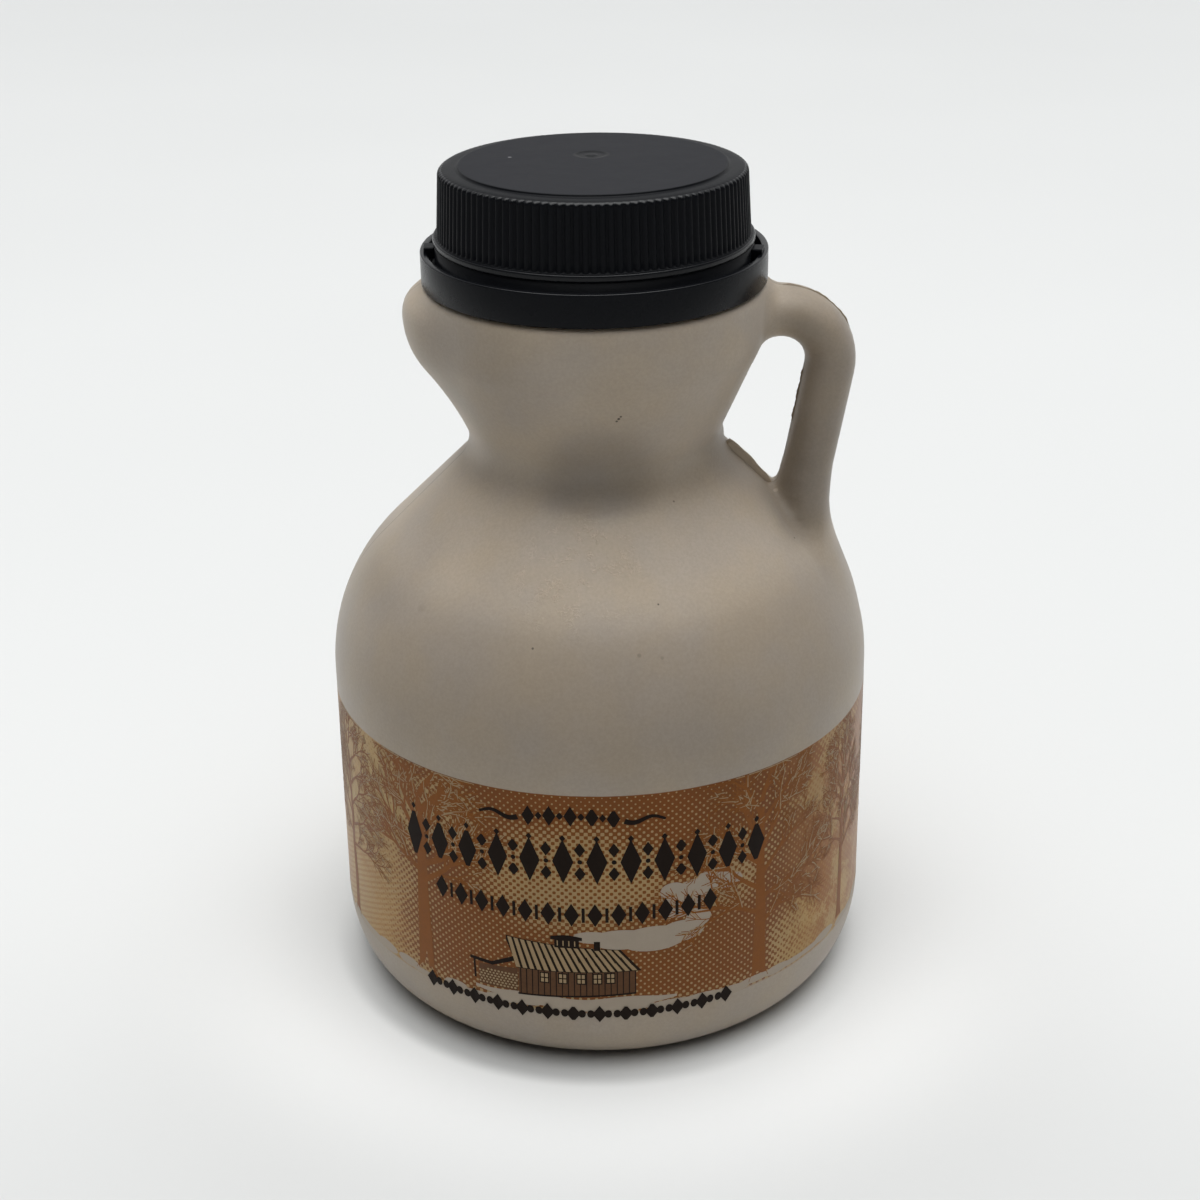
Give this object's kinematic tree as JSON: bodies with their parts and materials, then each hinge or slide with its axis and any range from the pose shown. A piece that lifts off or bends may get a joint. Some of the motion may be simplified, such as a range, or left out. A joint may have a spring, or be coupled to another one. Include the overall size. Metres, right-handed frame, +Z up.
{
  "type": "maple syrup jug",
  "caption": "Small blow-moulded maple syrup jug with a round body, loop handle, pour lip and black ribbed screw cap.",
  "frame": {"origin": "on the resting face, under the axis of the round body", "axes": "+Z up along the axis of the body and cap, +X toward the handle, -X toward the pour lip"},
  "size_m": [0.0744, 0.0744, 0.1126],
  "materials": {
    "jug": "satin",
    "cap": "satin"
  },
  "bodies": {
    "root": {"jug": "jug", "cap": "cap"}
  },
  "joints": []
}
